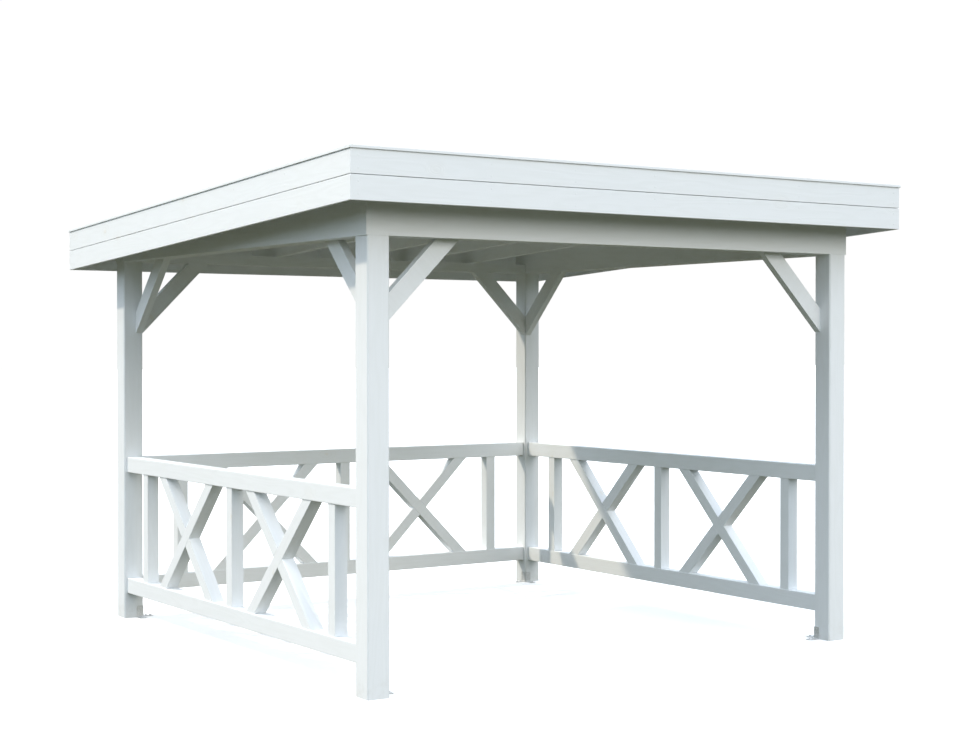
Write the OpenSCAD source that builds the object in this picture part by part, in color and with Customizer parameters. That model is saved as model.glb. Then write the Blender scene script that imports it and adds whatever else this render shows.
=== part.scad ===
// Garden gazebo: four square posts, a ring of beams, a single-pitch roof and three railings.
// Plan centre of the roof on the ground is the origin. X runs along the open front,
// Y from front to back, Z up. All sizes are in millimetres.

/* [Frame] */
// Width of the frame over the outer faces of the posts
frame_x = 3112; // [2600:1:4000]
// Depth of the frame over the outer faces of the posts
frame_y = 3122; // [2600:1:4000]
// Side of the square posts
post_w = 120; // [100:1:150]
// Height of the posts, up to the underside of the beams
post_h = 2185; // [1900:1:2650]
// Height of the back beam along its inner edge
back_beam_h = 60; // [40:1:90]
// How far the front and back beams run past the posts at each end
beam_end = 6; // [0:1:20]

/* [Knee braces] */
// Thickness of a knee brace
brace_t = 44; // [30:1:60]
// Width of a knee brace
brace_w = 93; // [60:1:120]
// Drop of a brace's lower end below the beams
brace_drop = 438; // [300:1:550]

/* [Roof] */
// Fall of the roof for each millimetre from front to back
roof_fall = 0.051; // [0.03:0.001:0.07]
// Overhang of the roof at the front
eave_front = 211; // [120:1:300]
// Overhang of the roof at the back
eave_back = 249; // [120:1:300]
// Overhang of the roof at the left and right
eave_side = 209; // [120:1:300]
// Height of the lower fascia board
fascia_low_h = 116.5; // [90:0.5:140]
// Height of the upper fascia board
fascia_top_h = 112.5; // [90:0.5:140]
// Shadow gap between the two fascia boards
fascia_gap = 3; // [1:0.5:6]
// Thickness of the fascia boards
fascia_t = 20; // [15:1:30]
// Height of the rafters
rafter_h = 130; // [100:1:160]
// Thickness of the rafters
rafter_w = 45; // [35:1:60]
// Number of rafters between the side beams
rafter_count = 5; // [3:1:7]
// Thickness of the roof boards
deck_t = 18; // [15:1:25]
// Thickness of the roofing felt
felt_t = 3; // [2:0.5:5]
// Height of the edge trim at the front and sides
trim_h = 14; // [8:1:25]
// Width of the edge trim
trim_w = 45; // [30:1:60]
// How far the edge trim stands out past the fascia
trim_out = 6; // [0:1:15]
// Joint between the pieces of the edge trim
trim_joint = 0.5; // [0.2:0.1:1]
// Thickness of the flat drip edge at the back
drip_t = 3; // [2:0.5:5]

/* [Railings] */
// Height of the top of the top rail
rail_top = 988; // [850:1:1100]
// Height of the underside of the bottom rail
rail_low = 154; // [80:1:200]
// Height of both rails
rail_h = 93; // [60:1:110]
// Thickness of both rails
rail_t = 80; // [60:1:90]
// Set-back of the rails from the outer faces of the posts
rail_inset = 17; // [10:1:25]
// Side of the square balusters and cross bars
bar_w = 70; // [45:1:80]
// Centre of an end baluster from the post beside it
end_baluster = 276; // [200:1:350]
// Joint between a cross bar and the halves that meet it
cross_joint = 0.5; // [0.2:0.1:1]
// Lean of the cross bars from the vertical, in degrees
cross_lean = 45; // [38:1:50]

/* [Ground anchors] */
// Length of both legs of an angle bracket
anchor_leg = 70; // [56:1:90]
// Width of an angle bracket
anchor_w = 40; // [30:1:50]
// Thickness of the steel
anchor_t = 3; // [2:0.5:4]
// Radius of the rounded corners of the legs
anchor_r = 8; // [3:1:12]
// Diameter of the anchor bolt holes in the ground leg
anchor_hole = 9; // [6:0.5:12]
// Outer bolt hole from the end of the leg
hole_end = 16; // [10:1:20]
// Spacing of the two bolt holes
hole_pitch = 28; // [20:1:32]
// Set-back of a bracket from the inner corner of the post
anchor_edge = 2; // [1:0.5:5]

/* [Hidden] */

$fn = 48;
eps = 1;
paint = [0.93, 0.94, 0.95];
steel = [0.72, 0.73, 0.75];
felt = [0.25, 0.26, 0.28];

// plan of the roof, centred on the origin
rx = frame_x / 2 + eave_side;
y_back = (frame_y + eave_front + eave_back) / 2;
y_front = -y_back;
deck_y0 = y_front + fascia_t;
deck_y1 = y_back - fascia_t;
trim_y0 = y_front - trim_out;
trim_y1 = y_back + trim_out;

// plan of the frame: outer faces of the posts, then their inner faces
fx = frame_x / 2;
fy0 = y_front + eave_front;
fy1 = y_back - eave_back;
ix = fx - post_w;
iy0 = fy0 + post_w;
iy1 = fy1 - post_w;
span_side = iy1 - iy0;
span_back = 2 * ix;

// levels of the roof, measured from the sloping underside of the fascia
fascia_mid = fascia_low_h + fascia_gap;
fascia_h = fascia_mid + fascia_top_h;
deck_low = fascia_h - deck_t;
rafter_low = deck_low - rafter_h;
felt_top = fascia_h + felt_t;
trim_top = felt_top + trim_h;

// height of the fascia's underside at the front, with the rafters seated on the back beam
fascia_z = post_h + back_beam_h - rafter_low + roof_fall * (iy1 - y_front);

rafter_step = (frame_x - post_w) / (rafter_count + 1);
brace_run = brace_w * sqrt(2);
hole_outer = anchor_leg - hole_end;

// room between the rails, and how far the bars lie inside them
bay_low = rail_low + rail_h;
bay_top = rail_top - rail_h;
bay_h = bay_top - bay_low;
bar_inset = (rail_t - bar_w) / 2;

// height of a level of the roof at a distance y
function roof_z(y, level) = fascia_z + level - roof_fall * (y - y_front);

// a flat shape drawn in (y, z), made solid from x0 to x1
module along_x(x0, x1, shape) {
    translate([x0, 0, 0])
        rotate([90, 0, 90])
            linear_extrude(x1 - x0)
                polygon(shape);
}

// a flat shape drawn in (x, z), made solid from y0 to y1
module along_y(y0, y1, shape) {
    translate([0, y1, 0])
        rotate([90, 0, 0])
            linear_extrude(y1 - y0)
                polygon(shape);
}

// a piece with plumb ends that lies in the slope of the roof
module roof_piece(x0, x1, y0, y1, low, high) {
    along_x(x0, x1, [
        [y0, roof_z(y0, low)],
        [y1, roof_z(y1, low)],
        [y1, roof_z(y1, high)],
        [y0, roof_z(y0, high)]
    ]);
}

// a beam with a level underside and a top cut to the slope, as a seat for the rafters
module cross_beam(y0, y1) {
    color(paint)
        along_x(-fx - beam_end, fx + beam_end, [
            [y0, post_h],
            [y1, post_h],
            [y1, roof_z(y1, rafter_low)],
            [y0, roof_z(y0, rafter_low)]
        ]);
}

// a side beam, notched over the front and back beams, with the roof boards on its top
module side_beam(x0) {
    color(paint)
        along_x(x0, x0 + post_w, [
            [iy0, post_h],
            [iy1, post_h],
            [iy1, roof_z(iy1, rafter_low)],
            [fy1, roof_z(fy1, rafter_low)],
            [fy1, roof_z(fy1, deck_low)],
            [fy0, roof_z(fy0, deck_low)],
            [fy0, roof_z(fy0, rafter_low)],
            [iy0, roof_z(iy0, rafter_low)]
        ]);
}

module post(x, y) {
    color(paint)
        translate([x, y, 0])
            cube([post_w, post_w, post_h]);
}

// outline of a knee brace in (run, z), with the post at run 0 and the beam above
function brace_shape() = [
    [0, post_h - brace_drop],
    [brace_drop, post_h],
    [brace_drop - brace_run, post_h],
    [0, post_h - brace_drop + brace_run]
];

// brace in the plane of the front or back, from the inner face of a post at x = -ix
module brace_along_x(y0) {
    color(paint)
        along_y(y0, y0 + brace_t, [for (p = brace_shape()) [p[0] - ix, p[1]]]);
}

// brace in the plane of the left side, from the inner face of the front post
module brace_along_y() {
    color(paint)
        along_x(-ix - brace_t, -ix, [for (p = brace_shape()) [p[0] + iy0, p[1]]]);
}

module flip_x() {
    mirror([1, 0, 0])
        children();
}

// swaps front and back about the middle of the frame
module flip_y() {
    translate([0, fy0 + fy1, 0])
        mirror([0, 1, 0])
            children();
}

// flat leg of a bracket, from 0 to anchor_leg along X, with rounded outer corners
module anchor_plate(with_holes) {
    difference() {
        union() {
            cube([anchor_leg - anchor_r, anchor_w, anchor_t]);
            translate([anchor_leg - anchor_r - eps, anchor_r, 0])
                cube([anchor_r + eps, anchor_w - 2 * anchor_r, anchor_t]);
            for (y = [anchor_r, anchor_w - anchor_r])
                translate([anchor_leg - anchor_r, y, 0])
                    cylinder(r = anchor_r, h = anchor_t);
        }
        if (with_holes)
            for (x = [hole_outer - hole_pitch, hole_outer])
                translate([x, anchor_w / 2, -eps])
                    cylinder(d = anchor_hole, h = anchor_t + 2 * eps);
    }
}

// angle bracket with its heel at the origin, one leg on the ground, one up the post
module angle_bracket() {
    union() {
        anchor_plate(true);
        translate([anchor_t, 0, 0])
            rotate([0, -90, 0])
                anchor_plate(false);
    }
}

// the two brackets on the inner faces of the front left post
module anchor_pair() {
    color(steel) {
        translate([-ix, iy0 - anchor_edge - anchor_w, 0])
            angle_bracket();
        translate([-ix - anchor_edge, iy0, 0])
            rotate([0, 0, 90])
                angle_bracket();
    }
}

// A railing is drawn along u from 0 to span, with its thickness along v from 0.
// Its rails end at the posts, and its bars are centred on the rails.
module rail(span, z0) {
    color(paint)
        translate([0, 0, z0])
            cube([span, rail_t, rail_h]);
}

function baluster_places(span) = [end_baluster, span / 2, span - end_baluster];

module balusters(span) {
    color(paint)
        for (u = baluster_places(span))
            translate([u - bar_w / 2, bar_inset, bay_low])
                cube([bar_w, bar_w, bay_h]);
}

// a long bar through the middle of a bay, leaning from the vertical, before it is cut to length
module leaning_bar(lean, width, skin) {
    rotate([0, lean, 0])
        translate([-width / 2, -skin, -bay_h])
            cube([width, bar_w + 2 * skin, 2 * bay_h]);
}

// the room between the rails, centred on a cross
module bay_room() {
    translate([-bay_h, -eps, -bay_h / 2])
        cube([2 * bay_h, bar_w + 2 * eps, bay_h]);
}

// one whole bar, and the two halves that meet it
module cross() {
    intersection() {
        leaning_bar(cross_lean, bar_w, 0);
        bay_room();
    }
    difference() {
        intersection() {
            leaning_bar(-cross_lean, bar_w, 0);
            bay_room();
        }
        leaning_bar(cross_lean, bar_w + 2 * cross_joint, 2 * eps);
    }
}

module crosses(span) {
    places = baluster_places(span);
    color(paint)
        for (k = [0, 1])
            translate([(places[k] + places[k + 1]) / 2, bar_inset, bay_low + bay_h / 2])
                cross();
}

// each side of the frame: u runs between the posts, v goes inwards
module on_left() {
    translate([-fx + rail_inset, iy1, 0])
        rotate([0, 0, -90])
            children();
}

module on_right() {
    translate([fx - rail_inset, iy0, 0])
        rotate([0, 0, 90])
            children();
}

module on_back() {
    translate([ix, fy1 - rail_inset, 0])
        rotate([0, 0, 180])
            children();
}

// a fascia board across the front or back
module fascia_end(y0, low, high) {
    color(paint)
        roof_piece(-rx, rx, y0, y0 + fascia_t, low, high);
}

// a fascia board down the side, between the front and back boards
module fascia_side(x0, low, high) {
    color(paint)
        roof_piece(x0, x0 + fascia_t, deck_y0, deck_y1, low, high);
}

module rafter(x) {
    roof_piece(x - rafter_w / 2, x + rafter_w / 2, deck_y0, deck_y1, rafter_low, deck_low);
}

// rafters between the side beams, and one behind each side fascia
module rafters() {
    color(paint) {
        for (k = [1 : rafter_count])
            rafter(k * rafter_step - ix - post_w / 2);
        for (side = [-1, 1])
            rafter(side * (rx - fascia_t - rafter_w / 2));
    }
}

module roof_deck() {
    color(paint)
        roof_piece(-rx + fascia_t, rx - fascia_t, deck_y0, deck_y1, deck_low, fascia_h);
}

module roof_felt() {
    color(felt)
        roof_piece(-rx, rx, y_front, y_back, fascia_h, felt_top);
}

// a strip across the front and one down each side
module edge_trim() {
    color(paint) {
        roof_piece(-rx - trim_out, rx + trim_out, trim_y0, trim_y0 + trim_w, felt_top, trim_top);
        for (x = [-rx - trim_out, rx + trim_out - trim_w])
            roof_piece(x, x + trim_w, trim_y0 + trim_w + trim_joint, trim_y1, felt_top, trim_top);
    }
}

// a flat strip along the back, between the side strips
module drip_edge() {
    reach = rx + trim_out - trim_w - trim_joint;
    color(paint)
        roof_piece(-reach, reach, trim_y1 - trim_w, trim_y1, felt_top, felt_top + drip_t);
}

post(-fx, fy0);  // post_front_left
post(ix, fy0);  // post_front_right
post(-fx, iy1);  // post_back_left
post(ix, iy1);  // post_back_right
anchor_pair();  // anchor_front_left
flip_x() anchor_pair();  // anchor_front_right
flip_y() anchor_pair();  // anchor_back_left
flip_x() flip_y() anchor_pair();  // anchor_back_right
cross_beam(fy0, iy0);  // beam_front
cross_beam(iy1, fy1);  // beam_back
side_beam(-fx);  // beam_left
side_beam(ix);  // beam_right
brace_along_x(iy0 - brace_t);  // brace_front_at_left
flip_x() brace_along_x(iy0 - brace_t);  // brace_front_at_right
brace_along_x(iy1);  // brace_back_at_left
flip_x() brace_along_x(iy1);  // brace_back_at_right
brace_along_y();  // brace_left_at_front
flip_y() brace_along_y();  // brace_left_at_back
flip_x() brace_along_y();  // brace_right_at_front
flip_x() flip_y() brace_along_y();  // brace_right_at_back
fascia_end(y_front, 0, fascia_low_h);  // fascia_front_lower
fascia_end(y_front, fascia_mid, fascia_h);  // fascia_front_upper
fascia_end(deck_y1, 0, fascia_low_h);  // fascia_back_lower
fascia_end(deck_y1, fascia_mid, fascia_h);  // fascia_back_upper
fascia_side(-rx, 0, fascia_low_h);  // fascia_left_lower
fascia_side(-rx, fascia_mid, fascia_h);  // fascia_left_upper
fascia_side(rx - fascia_t, 0, fascia_low_h);  // fascia_right_lower
fascia_side(rx - fascia_t, fascia_mid, fascia_h);  // fascia_right_upper
rafters();
roof_deck();
roof_felt();
edge_trim();
drip_edge();
on_left() rail(span_side, bay_top);  // left_top_rail
on_left() rail(span_side, rail_low);  // left_bottom_rail
on_left() balusters(span_side);  // left_balusters
on_left() crosses(span_side);  // left_crosses
on_right() rail(span_side, bay_top);  // right_top_rail
on_right() rail(span_side, rail_low);  // right_bottom_rail
on_right() balusters(span_side);  // right_balusters
on_right() crosses(span_side);  // right_crosses
on_back() rail(span_back, bay_top);  // back_top_rail
on_back() rail(span_back, rail_low);  // back_bottom_rail
on_back() balusters(span_back);  // back_balusters
on_back() crosses(span_back);  // back_crosses
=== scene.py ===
import math

import bmesh
import bpy
from mathutils import Matrix, Vector


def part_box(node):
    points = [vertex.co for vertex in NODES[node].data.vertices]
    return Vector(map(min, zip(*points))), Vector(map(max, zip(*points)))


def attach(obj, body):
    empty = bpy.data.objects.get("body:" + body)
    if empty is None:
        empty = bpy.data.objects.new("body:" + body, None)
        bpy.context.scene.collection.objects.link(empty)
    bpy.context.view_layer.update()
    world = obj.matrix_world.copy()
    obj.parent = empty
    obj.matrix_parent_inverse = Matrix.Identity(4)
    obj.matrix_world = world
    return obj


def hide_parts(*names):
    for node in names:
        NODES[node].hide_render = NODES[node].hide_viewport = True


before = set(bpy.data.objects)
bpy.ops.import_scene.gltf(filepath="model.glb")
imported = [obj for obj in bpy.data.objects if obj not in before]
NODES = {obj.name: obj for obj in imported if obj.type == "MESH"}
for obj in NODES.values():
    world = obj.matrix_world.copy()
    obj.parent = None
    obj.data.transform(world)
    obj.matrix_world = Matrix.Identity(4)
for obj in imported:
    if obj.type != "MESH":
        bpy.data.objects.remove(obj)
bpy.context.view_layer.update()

SIDES = ("left", "right", "back")
ENDS = ("front", "back")
HANDS = ("left", "right")
ROWS = ("lower", "upper")
CORNERS = [f"{end}_{hand}" for end in ENDS for hand in HANDS]
UP = (0, 0, 1)

# ---------------------------------------------------------------- sizes, in metres

# edges of the timber: a planed chamfer down each post, softer ones elsewhere
POST_CHAMFER = 0.006
BEAM_ARRIS = 0.0015
RAIL_ARRIS = 0.0035
BOARD_ARRIS = 0.0018
TRIM_ARRIS = 0.0015
STEEL_ARRIS = 0.0006
# longer than any edge across a post or beam, shorter than any edge along one
LONG_EDGE = 0.3
SHARP_EDGE = math.radians(30)
WELD_DISTANCE = 0.00002

# roof boards, laid across the rafters with a V-joint on the underside
BOARD_COVER = 0.121
BOARD_JOINT = 0.0012
V_DEPTH = 0.0035

# felt widths, lapped down the fall, and the nails along each lap
FELT_WIDTH = 1.0
FELT_LAP = 0.08
FELT_SHEET = 0.0024
LAP_CLIMB = 0.012
LAP_CLEAR = 0.0005
NAIL_SPACING = 0.075
NAIL_ROW_IN = 0.022
NAIL_FROM_END = 0.1

# other fixings
TRIM_NAIL_SPACING = 0.3
TRIM_NAIL_FROM_END = 0.04
SIDE_SCREWS = 7
SIDE_SCREW_FROM_END = 0.06
RAIL_SCREW_FROM_END = 0.032
# along a brace and across it, as shares of its height and of its breadth from the middle
BRACE_SCREW_SHARES = (0.11, 0.89)
BRACE_SCREW_OFFSETS = (-0.25, 0.25)
# up a rail, as shares of its height
RAIL_SCREW_SHARES = (0.3, 0.7)
# angle brackets: their steel, and how far their bolts stand from the heel
STEEL_T = 0.003
BOLT_REACH = (0.026, 0.054)
# up a bracket's post leg, as (height, distance sideways)
BRACKET_SCREWS = ((0.022, 0.0), (0.040, -0.009), (0.040, 0.009), (0.057, 0.0))

# turned heads, as (radius, height) from the surface they are driven into
SCREW_HEAD = (
    (0.0045, -0.0008), (0.0045, 0.0002), (0.00369, 0.0006), (0.00135, 0.0007), (0.00117, 0.0001),
)
PAN_HEAD = ((0.0042, 0), (0.0042, 0.0008), (0.0034, 0.002), (0.0014, 0.0024), (0.0012, 0.0012))
CLOUT_HEAD = ((0.0045, 0), (0.0045, 0.0007), (0.0027, 0.0012))
TRIM_NAIL_HEAD = ((0.004, -0.0005), (0.004, 0.0003), (0.0028, 0.0006))
WASHER = ((0.0085, 0), (0.0085, 0.0014), (0.00765, 0.0016))
WASHER_T = 0.0016
BOLT_HEAD = ((0.00624, 0), (0.0065, 0.0006), (0.0065, 0.0046), (0.00585, 0.0053))
BOLT_TURN = 0.3


# ---------------------------------------------------------------- material nodes

def add_node(tree, kind, **properties):
    node = tree.nodes.new(kind)
    for name, value in properties.items():
        setattr(node, name, value)
    return node


def new_material(name):
    """A material, its node tree and its shader."""
    material = bpy.data.materials.new(name)
    material.use_nodes = True
    tree = material.node_tree
    return material, tree, tree.nodes["Principled BSDF"]


def math_node(tree, operation, a, b=None):
    node = add_node(tree, "ShaderNodeMath", operation=operation)
    for socket, value in zip(node.inputs, (a, b)):
        if value is None:
            continue
        if isinstance(value, (int, float)):
            socket.default_value = value
        else:
            tree.links.new(value, socket)
    return node.outputs[0]


def times(tree, a, b):
    return math_node(tree, "MULTIPLY", a, b)


def plus(tree, a, b):
    return math_node(tree, "ADD", a, b)


def ramp(tree, value, low, high, to_low=0.0, to_high=1.0):
    """Maps value from low..high to to_low..to_high, smoothly and clamped."""
    node = add_node(tree, "ShaderNodeMapRange", interpolation_type="SMOOTHSTEP")
    node.inputs["From Min"].default_value = low
    node.inputs["From Max"].default_value = high
    node.inputs["To Min"].default_value = to_low
    node.inputs["To Max"].default_value = to_high
    tree.links.new(value, node.inputs["Value"])
    return node.outputs["Result"]


def mix_colour(tree, share, a, b):
    """A colour mix. share, a and b are sockets or plain values."""
    node = add_node(tree, "ShaderNodeMix", data_type="RGBA")
    for index, value in ((0, share), (6, a), (7, b)):
        if isinstance(value, bpy.types.NodeSocket):
            tree.links.new(value, node.inputs[index])
        else:
            node.inputs[index].default_value = value
    return node.outputs[2]


def noise(tree, vector, scale, detail=3.0, roughness=0.5):
    node = add_node(tree, "ShaderNodeTexNoise")
    node.inputs["Scale"].default_value = scale
    node.inputs["Detail"].default_value = detail
    node.inputs["Roughness"].default_value = roughness
    tree.links.new(vector, node.inputs["Vector"])
    return node.outputs["Fac"]


def cells(tree, vector, scale):
    """Voronoi cells: the distance from each one's centre, and a random number for each."""
    node = add_node(tree, "ShaderNodeTexVoronoi")
    node.inputs["Scale"].default_value = scale
    tree.links.new(vector, node.inputs["Vector"])
    parts = add_node(tree, "ShaderNodeSeparateColor")
    tree.links.new(node.outputs["Color"], parts.inputs[0])
    return node.outputs["Distance"], parts.outputs[0]


def mapping(tree, vector, scale=(1, 1, 1), rotation=(0, 0, 0)):
    node = add_node(tree, "ShaderNodeMapping")
    node.inputs["Scale"].default_value = scale
    node.inputs["Rotation"].default_value = rotation
    tree.links.new(vector, node.inputs["Vector"])
    return node.outputs["Vector"]


def height_of(tree, vector):
    parts = add_node(tree, "ShaderNodeSeparateXYZ")
    tree.links.new(vector, parts.inputs[0])
    return parts.outputs["Z"]


def bump(tree, height, distance, strength, below=None):
    node = add_node(tree, "ShaderNodeBump")
    node.inputs["Distance"].default_value = distance
    node.inputs["Strength"].default_value = strength
    tree.links.new(height, node.inputs["Height"])
    if below is not None:
        tree.links.new(below, node.inputs["Normal"])
    return node.outputs["Normal"]


# ---------------------------------------------------------------- materials

# turns that lay each grain direction along Z
GRAIN_TURNS = {
    "x": (0, math.radians(90), 0),
    "y": (math.radians(90), 0, 0),
    "z": (0, 0, 0),
    "x_rising": (0, math.radians(45), 0),
    "x_falling": (0, math.radians(-45), 0),
    "y_rising": (math.radians(45), 0, 0),
    "y_falling": (math.radians(-45), 0, 0),
}
PAINT = (0.845, 0.86, 0.868, 1)
GRAIN_SHADE = (0.79, 0.805, 0.80, 1)
PATCH_SHADE = (0.82, 0.845, 0.865, 1)
KNOT_STAIN = (0.78, 0.755, 0.69, 1)
SPLASH_STAIN = (0.60, 0.58, 0.53, 1)
SPLASH_HEIGHT = 0.16
ZINC_BLOOM = (0.66, 0.66, 0.64, 1)
DARK_GRANULE = (0.085, 0.088, 0.092, 1)
PALE_GRANULE = (0.185, 0.19, 0.195, 1)
FADED_FELT = (0.205, 0.207, 0.203, 1)
STREAKED_FELT = (0.11, 0.112, 0.106, 1)


def painted_timber(grain):
    """White satin paint over planed softwood, with its grain along the named direction."""
    material, tree, shader = new_material("white_timber_" + grain)
    place = add_node(tree, "ShaderNodeTexCoord").outputs["Object"]
    along_z = mapping(tree, place, rotation=GRAIN_TURNS[grain])

    # knots, in about a third of the cells
    distance, chance = cells(tree, mapping(tree, along_z, scale=(1, 1, 0.62)), 5.2)
    has_knot = ramp(tree, chance, 0.60, 0.62)
    knot = times(tree, ramp(tree, distance, 0.035, 0.085, 1, 0), has_knot)
    halo = times(tree, ramp(tree, distance, 0.04, 0.30, 1, 0), has_knot)

    # growth rings drawn out along the grain, bent round the knots
    drift = noise(tree, mapping(tree, along_z, scale=(1, 1, 0.12)), 9, 2)
    rings = noise(tree, mapping(tree, along_z, scale=(1, 1, 0.022)), 150, 3, 0.6)
    bands = math_node(tree, "SINE", plus(tree, times(tree, drift, 60), times(tree, halo, 9.9)))
    grain_height = plus(tree, times(tree, bands, 0.35), rings)

    # brush marks and slow shifts of tone in the paint
    strokes = noise(tree, mapping(tree, along_z, scale=(1, 1, 0.05)), 420, 2)
    patches = noise(tree, place, 1.7, 3)
    grime = noise(tree, place, 11, 5, 0.65)

    colour = mix_colour(tree, ramp(tree, grain_height, 0.25, 1.0, 0.0, 0.30), PAINT, GRAIN_SHADE)
    colour = mix_colour(tree, ramp(tree, patches, 0.35, 0.7, 0.0, 0.22), colour, PATCH_SHADE)
    colour = mix_colour(tree, times(tree, knot, 0.55), colour, KNOT_STAIN)
    colour = mix_colour(tree, times(tree, halo, 0.12), colour, KNOT_STAIN)

    # rain splash near the ground
    near_ground = ramp(tree, height_of(tree, place), 0.0, SPLASH_HEIGHT, 1, 0)
    splash = times(tree, near_ground, ramp(tree, grime, 0.42, 0.72, 0.0, 0.35))
    colour = mix_colour(tree, splash, colour, SPLASH_STAIN)
    tree.links.new(colour, shader.inputs["Base Color"])

    roughness = plus(tree, ramp(tree, grime, 0.3, 0.7, 0.40, 0.52), times(tree, knot, 0.08))
    tree.links.new(roughness, shader.inputs["Roughness"])

    normal = bump(tree, grain_height, 0.0006, 0.35)
    normal = bump(tree, strokes, 0.0002, 0.25, normal)
    knot_rings = times(tree, math_node(tree, "SINE", times(tree, distance, 160)), halo)
    knot_height = plus(tree, knot, times(tree, knot_rings, 0.25))
    normal = bump(tree, knot_height, 0.0012, 0.4, normal)
    tree.links.new(normal, shader.inputs["Normal"])
    return material


def galvanised(name, base, rough):
    """Zinc-plated steel with faint spangle."""
    material, tree, shader = new_material(name)
    place = add_node(tree, "ShaderNodeTexCoord").outputs["Object"]
    _, spangle = cells(tree, place, 170)
    cloud = noise(tree, place, 60, 4)
    darker = tuple(0.80 * c for c in base) + (1,)
    colour = mix_colour(tree, ramp(tree, spangle, 0.0, 1.0, 0.0, 0.6), base + (1,), darker)
    colour = mix_colour(tree, ramp(tree, cloud, 0.5, 0.75, 0, 0.35), colour, ZINC_BLOOM)
    tree.links.new(colour, shader.inputs["Base Color"])
    roughness = ramp(tree, cloud, 0.3, 0.7, rough - 0.08, rough + 0.12)
    tree.links.new(roughness, shader.inputs["Roughness"])
    shader.inputs["Metallic"].default_value = 0.6
    tree.links.new(bump(tree, cloud, 0.0002, 0.3), shader.inputs["Normal"])
    return material


def mineral_felt():
    """Slate-grey mineral granules on bitumen felt, a little faded and streaked down the fall."""
    material, tree, shader = new_material("mineral_felt")
    place = add_node(tree, "ShaderNodeTexCoord").outputs["Object"]
    distance, tone = cells(tree, place, 520)
    fade = noise(tree, place, 1.3, 4)
    streak = noise(tree, mapping(tree, place, scale=(1, 0.06, 1)), 14, 4)
    colour = mix_colour(tree, tone, DARK_GRANULE, PALE_GRANULE)
    colour = mix_colour(tree, ramp(tree, fade, 0.35, 0.7, 0, 0.4), colour, FADED_FELT)
    colour = mix_colour(tree, ramp(tree, streak, 0.5, 0.75, 0, 0.3), colour, STREAKED_FELT)
    tree.links.new(colour, shader.inputs["Base Color"])
    tree.links.new(ramp(tree, tone, 0, 1, 0.86, 0.96), shader.inputs["Roughness"])
    tree.links.new(bump(tree, distance, 0.0009, 0.8), shader.inputs["Normal"])
    return material


TIMBER = {grain: painted_timber(grain) for grain in GRAIN_TURNS}
STEEL = galvanised("galvanised_steel", (0.76, 0.765, 0.76), 0.42)
ZINC = galvanised("zinc_plated_screws", (0.80, 0.805, 0.81), 0.36)
DULL_ZINC = galvanised("weathered_clout_nails", (0.36, 0.365, 0.37), 0.6)
FELT = mineral_felt()


# ---------------------------------------------------------------- CAD nodes

def solids_of(node):
    """The polygons of a node, grouped by the solid they belong to, and each solid's points."""
    mesh = NODES[node].data
    places = [tuple(round(c, 4) for c in v.co) for v in mesh.vertices]
    group_at = {}
    groups = []
    for polygon in mesh.polygons:
        corners = {places[i] for i in polygon.vertices}
        met = {id(group_at[c]): group_at[c] for c in corners if c in group_at}
        group = {"polygons": [polygon.index], "points": corners}
        for other in met.values():
            group["polygons"] += other["polygons"]
            group["points"] |= other["points"]
            groups.remove(other)
        groups.append(group)
        for c in group["points"]:
            group_at[c] = group
    return groups


def boxes_of(node):
    """(lowest corner, highest corner) of each solid of a node."""
    found = []
    for group in solids_of(node):
        columns = list(zip(*group["points"]))
        found.append((Vector(map(min, columns)), Vector(map(max, columns))))
    return sorted(found, key=lambda pair: tuple(pair[0]))


def make_edge_marker():
    """A geometry node group that gives full bevel weight to the sharp edges that run along a timber."""
    tree = bpy.data.node_groups.new("mark_long_edges", "GeometryNodeTree")
    for way in ("INPUT", "OUTPUT"):
        tree.interface.new_socket("Geometry", in_out=way, socket_type="NodeSocketGeometry")
    given = add_node(tree, "NodeGroupInput")
    result = add_node(tree, "NodeGroupOutput")
    ends = add_node(tree, "GeometryNodeInputMeshEdgeVertices")
    length = add_node(tree, "ShaderNodeVectorMath", operation="DISTANCE")
    tree.links.new(ends.outputs["Position 1"], length.inputs[0])
    tree.links.new(ends.outputs["Position 2"], length.inputs[1])
    is_long = math_node(tree, "GREATER_THAN", length.outputs["Value"], LONG_EDGE)
    angle = add_node(tree, "GeometryNodeInputMeshEdgeAngle")
    is_sharp = math_node(tree, "GREATER_THAN", angle.outputs["Unsigned Angle"], SHARP_EDGE)
    store = add_node(tree, "GeometryNodeStoreNamedAttribute", data_type="FLOAT", domain="EDGE")
    store.inputs["Name"].default_value = "bevel_weight_edge"
    tree.links.new(given.outputs["Geometry"], store.inputs["Geometry"])
    tree.links.new(times(tree, is_long, is_sharp), store.inputs["Value"])
    tree.links.new(store.outputs["Geometry"], result.inputs["Geometry"])
    return tree


EDGE_MARKER = make_edge_marker()


def soften(node, arris, segments=2, along_only=False):
    """Joins the node's split corners and eases its edges, or only those that run along it."""
    piece = NODES[node]
    piece.modifiers.new("weld", "WELD").merge_threshold = WELD_DISTANCE
    if along_only:
        piece.modifiers.new("long_edges", "NODES").node_group = EDGE_MARKER
    bevel = piece.modifiers.new("arris", "BEVEL")
    bevel.width = arris
    bevel.segments = segments
    bevel.limit_method = "WEIGHT" if along_only else "ANGLE"
    bevel.angle_limit = SHARP_EDGE


def dress(node, material, arris, segments=2, along_only=False):
    """Gives a node its material and its soft edges."""
    piece = NODES[node]
    piece.data.materials.clear()
    piece.data.materials.append(material)
    soften(node, arris, segments, along_only)


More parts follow.
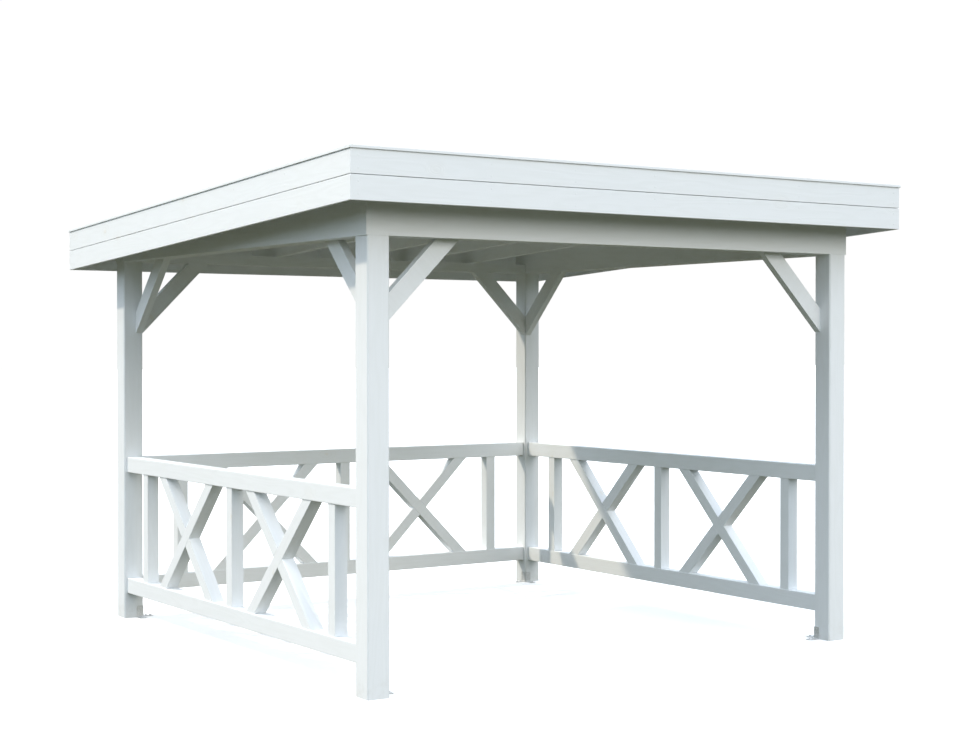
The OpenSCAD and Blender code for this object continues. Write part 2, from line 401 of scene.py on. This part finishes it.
def dress_crosses(node, axis):
    """The bars of a node lean both ways, so each solid takes the grain of its own lean."""
    piece = NODES[node]
    mesh = piece.data
    mesh.materials.clear()
    for lean in ("rising", "falling"):
        mesh.materials.append(TIMBER[f"{axis}_{lean}"])
    along = "xy".index(axis)
    for group in solids_of(node):
        lowest = min(group["points"], key=lambda p: (p[2], p[along]))
        highest = max(group["points"], key=lambda p: (p[2], -p[along]))
        for index in group["polygons"]:
            mesh.polygons[index].material_index = 0 if highest[along] > lowest[along] else 1
    soften(node, BOARD_ARRIS)


for corner in CORNERS:
    dress("post_" + corner, TIMBER["z"], POST_CHAMFER, segments=1, along_only=True)
    dress("anchor_" + corner, STEEL, STEEL_ARRIS)
for ends, others, axis in ((ENDS, HANDS, "x"), (HANDS, ENDS, "y")):
    for side in ends:
        dress("beam_" + side, TIMBER[axis], BEAM_ARRIS, along_only=True)
        for row in ROWS:
            dress(f"fascia_{side}_{row}", TIMBER[axis], BOARD_ARRIS)
        for near, lean in zip(others, ("rising", "falling")):
            dress(f"brace_{side}_at_{near}", TIMBER[f"{axis}_{lean}"], BOARD_ARRIS)
dress("rafters", TIMBER["y"], BOARD_ARRIS)
dress("edge_trim", TIMBER["x"], TRIM_ARRIS)
dress("drip_edge", TIMBER["x"], STEEL_ARRIS)
for side in SIDES:
    axis = "x" if side == "back" else "y"
    dress(side + "_top_rail", TIMBER[axis], RAIL_ARRIS)
    dress(side + "_bottom_rail", TIMBER[axis], RAIL_ARRIS)
    dress(side + "_balusters", TIMBER["z"], BOARD_ARRIS)
    dress_crosses(side + "_crosses", axis)


# ---------------------------------------------------------------- pieces made here

def finish_piece(name, shape, material, replaces=()):
    """Turns a bmesh into a piece that rides on the gazebo."""
    mesh = bpy.data.meshes.new(name)
    bmesh.ops.recalc_face_normals(shape, faces=shape.faces)
    shape.to_mesh(mesh)
    shape.free()
    mesh.materials.append(material)
    piece = bpy.data.objects.new(name, mesh)
    bpy.context.scene.collection.objects.link(piece)
    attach(piece, "root")
    if replaces:
        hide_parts(*replaces)
    return piece


def prism_along_x(shape, outline, x0, x1):
    """A solid with the outline in (y, z), from x0 to x1."""
    ends = [[shape.verts.new((x, y, z)) for y, z in outline] for x in (x0, x1)]
    shape.faces.new(ends[0])
    shape.faces.new(reversed(ends[1]))
    for k in range(len(outline)):
        j = (k + 1) % len(outline)
        shape.faces.new((ends[0][k], ends[0][j], ends[1][j], ends[1][k]))


def turned(shape, profile, sides, point, normal, turn=0.0):
    """A solid turned from a profile of (radius, height), standing along normal at point."""
    upright = Vector(normal).to_track_quat("Z", "Y").to_matrix().to_4x4()
    place = Matrix.Translation(Vector(point)) @ upright
    rings = []
    for radius, height in profile:
        ring = []
        for k in range(sides):
            angle = turn + 2 * math.pi * k / sides
            corner = Vector((radius * math.cos(angle), radius * math.sin(angle), height))
            ring.append(shape.verts.new(place @ corner))
        rings.append(ring)
    shape.faces.new(reversed(rings[0]))
    shape.faces.new(rings[-1])
    for low, high in zip(rings, rings[1:]):
        for k in range(sides):
            j = (k + 1) % sides
            shape.faces.new((low[k], low[j], high[j], high[k]))


def levels_of(node):
    """The levels of the underside and of the top of a sheet that slopes along y, as functions of y."""
    points = [v.co for v in NODES[node].data.vertices]
    front = min(p.y for p in points)
    back = max(p.y for p in points)

    def level(pick):
        z0, z1 = (pick(p.z for p in points if abs(p.y - y) < 1e-5) for y in (front, back))
        return lambda y: z0 + (z1 - z0) * (y - front) / (back - front)

    return level(min), level(max)


def spread(start, end, count):
    """count + 1 even places from start to end."""
    return [start + k * (end - start) / count for k in range(count + 1)]


def make_roof_boards():
    """Boards across the rafters, with a V-joint along each seam of the ceiling."""
    low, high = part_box("roof_deck")
    under, over = levels_of("roof_deck")
    seams = spread(low.y, high.y, round((high.y - low.y) / BOARD_COVER))
    shape = bmesh.new()
    for front, back in zip(seams, seams[1:]):
        y0 = front + BOARD_JOINT / 2
        y1 = back - BOARD_JOINT / 2
        prism_along_x(shape, [
            (y0, under(y0) + V_DEPTH), (y0 + V_DEPTH, under(y0 + V_DEPTH)),
            (y1 - V_DEPTH, under(y1 - V_DEPTH)), (y1, under(y1) + V_DEPTH),
            (y1, over(y1)), (y0, over(y0)),
        ], low.x, high.x)
    finish_piece("roof_boards", shape, TIMBER["x"], replaces=("roof_deck",))


def make_felt():
    """Widths of felt laid across the fall, each lapped over the one below it, with clout nails."""
    low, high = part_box("roof_felt")
    bed, _ = levels_of("roof_felt")
    widths = bmesh.new()
    nails = bmesh.new()
    first_nail = low.x + NAIL_FROM_END
    last_nail = high.x - NAIL_FROM_END
    nail_places = spread(first_nail, last_nail, round((last_nail - first_nail) / NAIL_SPACING))

    # from the low back edge up; lap_edge is the upper edge of the width below
    back = high.y
    lap_edge = None
    while lap_edge is None or lap_edge > low.y:
        front = max(back - FELT_WIDTH, low.y)
        if lap_edge is None:
            rises = [(front, 0.0), (back, 0.0)]
        else:
            rises = [(front, 0.0), (lap_edge - LAP_CLIMB, 0.0),
                     (lap_edge + LAP_CLEAR, FELT_SHEET), (back, FELT_SHEET)]
            row = back - NAIL_ROW_IN
            for x in nail_places:
                turned(nails, CLOUT_HEAD, 10, (x, row, bed(row) + 2 * FELT_SHEET), UP)
        lower = [(y, bed(y) + rise) for y, rise in rises]
        upper = [(y, z + FELT_SHEET) for y, z in lower]
        prism_along_x(widths, lower + upper[::-1], low.x, high.x)
        lap_edge = front
        back = front + FELT_LAP
    felt = finish_piece("felt_widths", widths, FELT, replaces=("roof_felt",))

    # the cut edges over the fascia are painted over with it
    felt.data.materials.append(TIMBER["x"])
    for face in felt.data.polygons:
        to_edge = min(abs(face.center[axis] - end[axis]) for axis in (0, 1) for end in (low, high))
        if to_edge < 0.0001 and abs(face.normal.z) < 0.5:
            face.material_index = 1
    finish_piece("felt_nails", nails, DULL_ZINC)


def screw(shape, point, normal):
    """A countersunk head, painted over, that stands a little proud."""
    turned(shape, SCREW_HEAD, 12, point, normal)


def make_fascia_screws():
    """Two screws a board at every rafter, and at even places along the side boards."""
    shape = bmesh.new()
    rafters = [(low.x + high.x) / 2 for low, high in boxes_of("rafters")]
    for end in ENDS:
        outward = -1 if end == "front" else 1
        for row in ROWS:
            low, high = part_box(f"fascia_{end}_{row}")
            face = low.y if end == "front" else high.y
            rise = (high.z - low.z) / 4
            for x in rafters:
                for z in (low.z + rise, high.z - rise):
                    screw(shape, (x, face, z), (0, outward, 0))
    for hand in HANDS:
        outward = -1 if hand == "left" else 1
        for row in ROWS:
            node = f"fascia_{hand}_{row}"
            low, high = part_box(node)
            face = low.x if hand == "left" else high.x
            under, over = levels_of(node)
            for y in spread(low.y + SIDE_SCREW_FROM_END, high.y - SIDE_SCREW_FROM_END, SIDE_SCREWS - 1):
                rise = (over(y) - under(y)) / 4
                for z in (under(y) + rise, over(y) - rise):
                    screw(shape, (face, y, z), (outward, 0, 0))
    finish_piece("fascia_screws", shape, TIMBER["z"])


def make_trim_nails():
    """Flat heads along the top of the edge trim."""
    shape = bmesh.new()
    _, top = levels_of("edge_trim")
    for low, high in boxes_of("edge_trim"):
        size = high - low
        along = 0 if size.x > size.y else 1
        count = round(size[along] / TRIM_NAIL_SPACING)
        for step in spread(low[along] + TRIM_NAIL_FROM_END, high[along] - TRIM_NAIL_FROM_END, count):
            place = (low + high) / 2
            place[along] = step
            place.z = top(place.y)
            turned(shape, TRIM_NAIL_HEAD, 10, place, UP)
    finish_piece("trim_nails", shape, ZINC)


def make_brace_screws():
    """Two screws near each end of every brace, driven through its lower edge."""
    shape = bmesh.new()
    for sides, others, along in ((ENDS, HANDS, 0), (HANDS, ENDS, 1)):
        across = 1 - along
        for side in sides:
            for near, inwards in zip(others, (1, -1)):
                low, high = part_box(f"brace_{side}_at_{near}")
                start = low[along] if inwards > 0 else high[along]
                normal = Vector((0, 0, -1))
                normal[along] = inwards
                for share in BRACE_SCREW_SHARES:
                    run = share * (high.z - low.z)
                    for offset in BRACE_SCREW_OFFSETS:
                        place = (low + high) / 2
                        place.z = low.z + run
                        place[along] = start + inwards * run
                        place[across] += offset * (high[across] - low[across])
                        screw(shape, place, normal)
    finish_piece("brace_screws", shape, TIMBER["z"])


def make_rail_screws():
    """A pair of screws at each end of every rail, on its inner face."""
    shape = bmesh.new()
    for side in SIDES:
        along = 0 if side == "back" else 1
        across = 1 - along
        inwards = {"left": (1, 0, 0), "right": (-1, 0, 0), "back": (0, -1, 0)}[side]
        for rail in ("top", "bottom"):
            low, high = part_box(f"{side}_{rail}_rail")
            for end in (low[along] + RAIL_SCREW_FROM_END, high[along] - RAIL_SCREW_FROM_END):
                for share in RAIL_SCREW_SHARES:
                    place = Vector((0, 0, low.z + share * (high.z - low.z)))
                    place[along] = end
                    place[across] = high[across] if inwards[across] > 0 else low[across]
                    screw(shape, place, inwards)
    finish_piece("rail_screws", shape, TIMBER["z"])


def make_bracket_fixings():
    """Pan-head screws up the post leg of each bracket, and a washered bolt in each hole of its foot."""
    screws = bmesh.new()
    bolts = bmesh.new()
    for corner in CORNERS:
        for low, high in boxes_of("anchor_" + corner):
            middle = (low + high) / 2
            along = 0 if high.x - low.x > high.y - low.y else 1
            across = 1 - along
            # the heel lies against the post, away from the middle of the floor
            inwards = 1 if middle[along] < 0 else -1
            heel = low[along] if inwards > 0 else high[along]
            normal = Vector((0, 0, 0))
            normal[along] = inwards
            for height, shift in BRACKET_SCREWS:
                place = Vector((0, 0, height))
                place[along] = heel + inwards * STEEL_T
                place[across] = middle[across] + shift
                turned(screws, PAN_HEAD, 12, place, normal)
            for reach in BOLT_REACH:
                place = Vector((0, 0, STEEL_T))
                place[along] = heel + inwards * reach
                place[across] = middle[across]
                turned(bolts, WASHER, 20, place, UP)
                place.z += WASHER_T
                turned(bolts, BOLT_HEAD, 6, place, UP, turn=BOLT_TURN)
    finish_piece("bracket_screws", screws, ZINC)
    finish_piece("bracket_bolts", bolts, ZINC)


make_roof_boards()
make_felt()
make_fascia_screws()
make_trim_nails()
make_brace_screws()
make_rail_screws()
make_bracket_fixings()


# ---------------------------------------------------------------- camera, light and floor

# the photo's view: a long lens at eye height, off the front left corner; angles in degrees
SENSOR_WIDTH = 36
LENS = 63.738
CAMERA_PLACE = (-5.586, -8.656, 1.652)
CAMERA_DIP = 0.636
CAMERA_TURN = -33.701
CAMERA_CLIP = 200

# light from the sky and the ground, and the rise of a direction over which each gives way
GROUND_LIGHT = (0.12, 0.13, 0.088, 1)
SKY_LOW = (1.0, 1.2, 1.34, 1)
SKY_HIGH = (1.6, 1.76, 2.0, 1)
GROUND_TO_SKY = (0.0, 0.14)
LOW_TO_HIGH = (0.15, 0.55)
BACKDROP = (1.02, 1.02, 1.02, 1)

FLOOR_REACH = 120
FLOOR_Z = -0.0005
FLOOR_COLOUR = (0.92, 0.925, 0.93, 1)
# lifts the gazebo's shadow on the floor to a pale grey
FLOOR_GLOW = 0.3


def make_camera():
    data = bpy.data.cameras.new("camera")
    data.sensor_width = SENSOR_WIDTH
    data.lens = LENS
    data.clip_end = CAMERA_CLIP
    camera = bpy.data.objects.new("camera", data)
    camera.location = CAMERA_PLACE
    camera.rotation_euler = (math.radians(90 - CAMERA_DIP), 0, math.radians(CAMERA_TURN))
    bpy.context.scene.collection.objects.link(camera)
    bpy.context.scene.camera = camera


def make_world():
    """Soft light by height: a dim green-grey ground, a pale sky band, brighter overhead.

    To the camera itself the world is a plain white backdrop.
    """
    world = bpy.data.worlds.new("world")
    world.use_nodes = True
    bpy.context.scene.world = world
    tree = world.node_tree
    rise = height_of(tree, add_node(tree, "ShaderNodeTexCoord").outputs["Generated"])
    light = mix_colour(tree, ramp(tree, rise, *LOW_TO_HIGH), SKY_LOW, SKY_HIGH)
    light = mix_colour(tree, ramp(tree, rise, *GROUND_TO_SKY), GROUND_LIGHT, light)
    seen = add_node(tree, "ShaderNodeLightPath").outputs["Is Camera Ray"]
    colour = mix_colour(tree, seen, light, BACKDROP)
    tree.links.new(colour, tree.nodes["Background"].inputs["Color"])


def make_lamp(name, towards, energy, angle, colour):
    """A distant lamp in the direction towards, as wide in the sky as its angle in degrees."""
    data = bpy.data.lights.new(name, "SUN")
    data.energy = energy
    data.angle = math.radians(angle)
    data.color = colour
    lamp = bpy.data.objects.new(name, data)
    lamp.rotation_euler = Vector(towards).to_track_quat("Z", "Y").to_euler()
    bpy.context.scene.collection.objects.link(lamp)


def make_floor():
    """A plain pale floor, too far across for its edge to show. It takes no part in lighting the gazebo."""
    mesh = bpy.data.meshes.new("floor")
    plane = bmesh.new()
    bmesh.ops.create_grid(plane, x_segments=1, y_segments=1, size=FLOOR_REACH)
    plane.to_mesh(mesh)
    plane.free()
    floor = bpy.data.objects.new("floor", mesh)
    floor.location.z = FLOOR_Z
    bpy.context.scene.collection.objects.link(floor)
    material, _, shader = new_material("pale_floor")
    shader.inputs["Base Color"].default_value = FLOOR_COLOUR
    shader.inputs["Roughness"].default_value = 0.9
    shader.inputs["Specular IOR Level"].default_value = 0.1
    shader.inputs["Emission Color"].default_value = (1, 1, 1, 1)
    shader.inputs["Emission Strength"].default_value = FLOOR_GLOW
    mesh.materials.append(material)
    floor.visible_diffuse = False
    floor.visible_glossy = False
    floor.visible_shadow = False


make_camera()
make_world()
make_lamp("key", towards=(-0.836, 0.76, 1), energy=2.25, angle=2, colour=(1, 0.88, 0.70))
make_lamp("front_fill", towards=(0.1, -1, 0.34), energy=0.72, angle=30, colour=(1, 0.87, 0.68))
make_floor()
bpy.context.scene.view_settings.view_transform = "Standard"
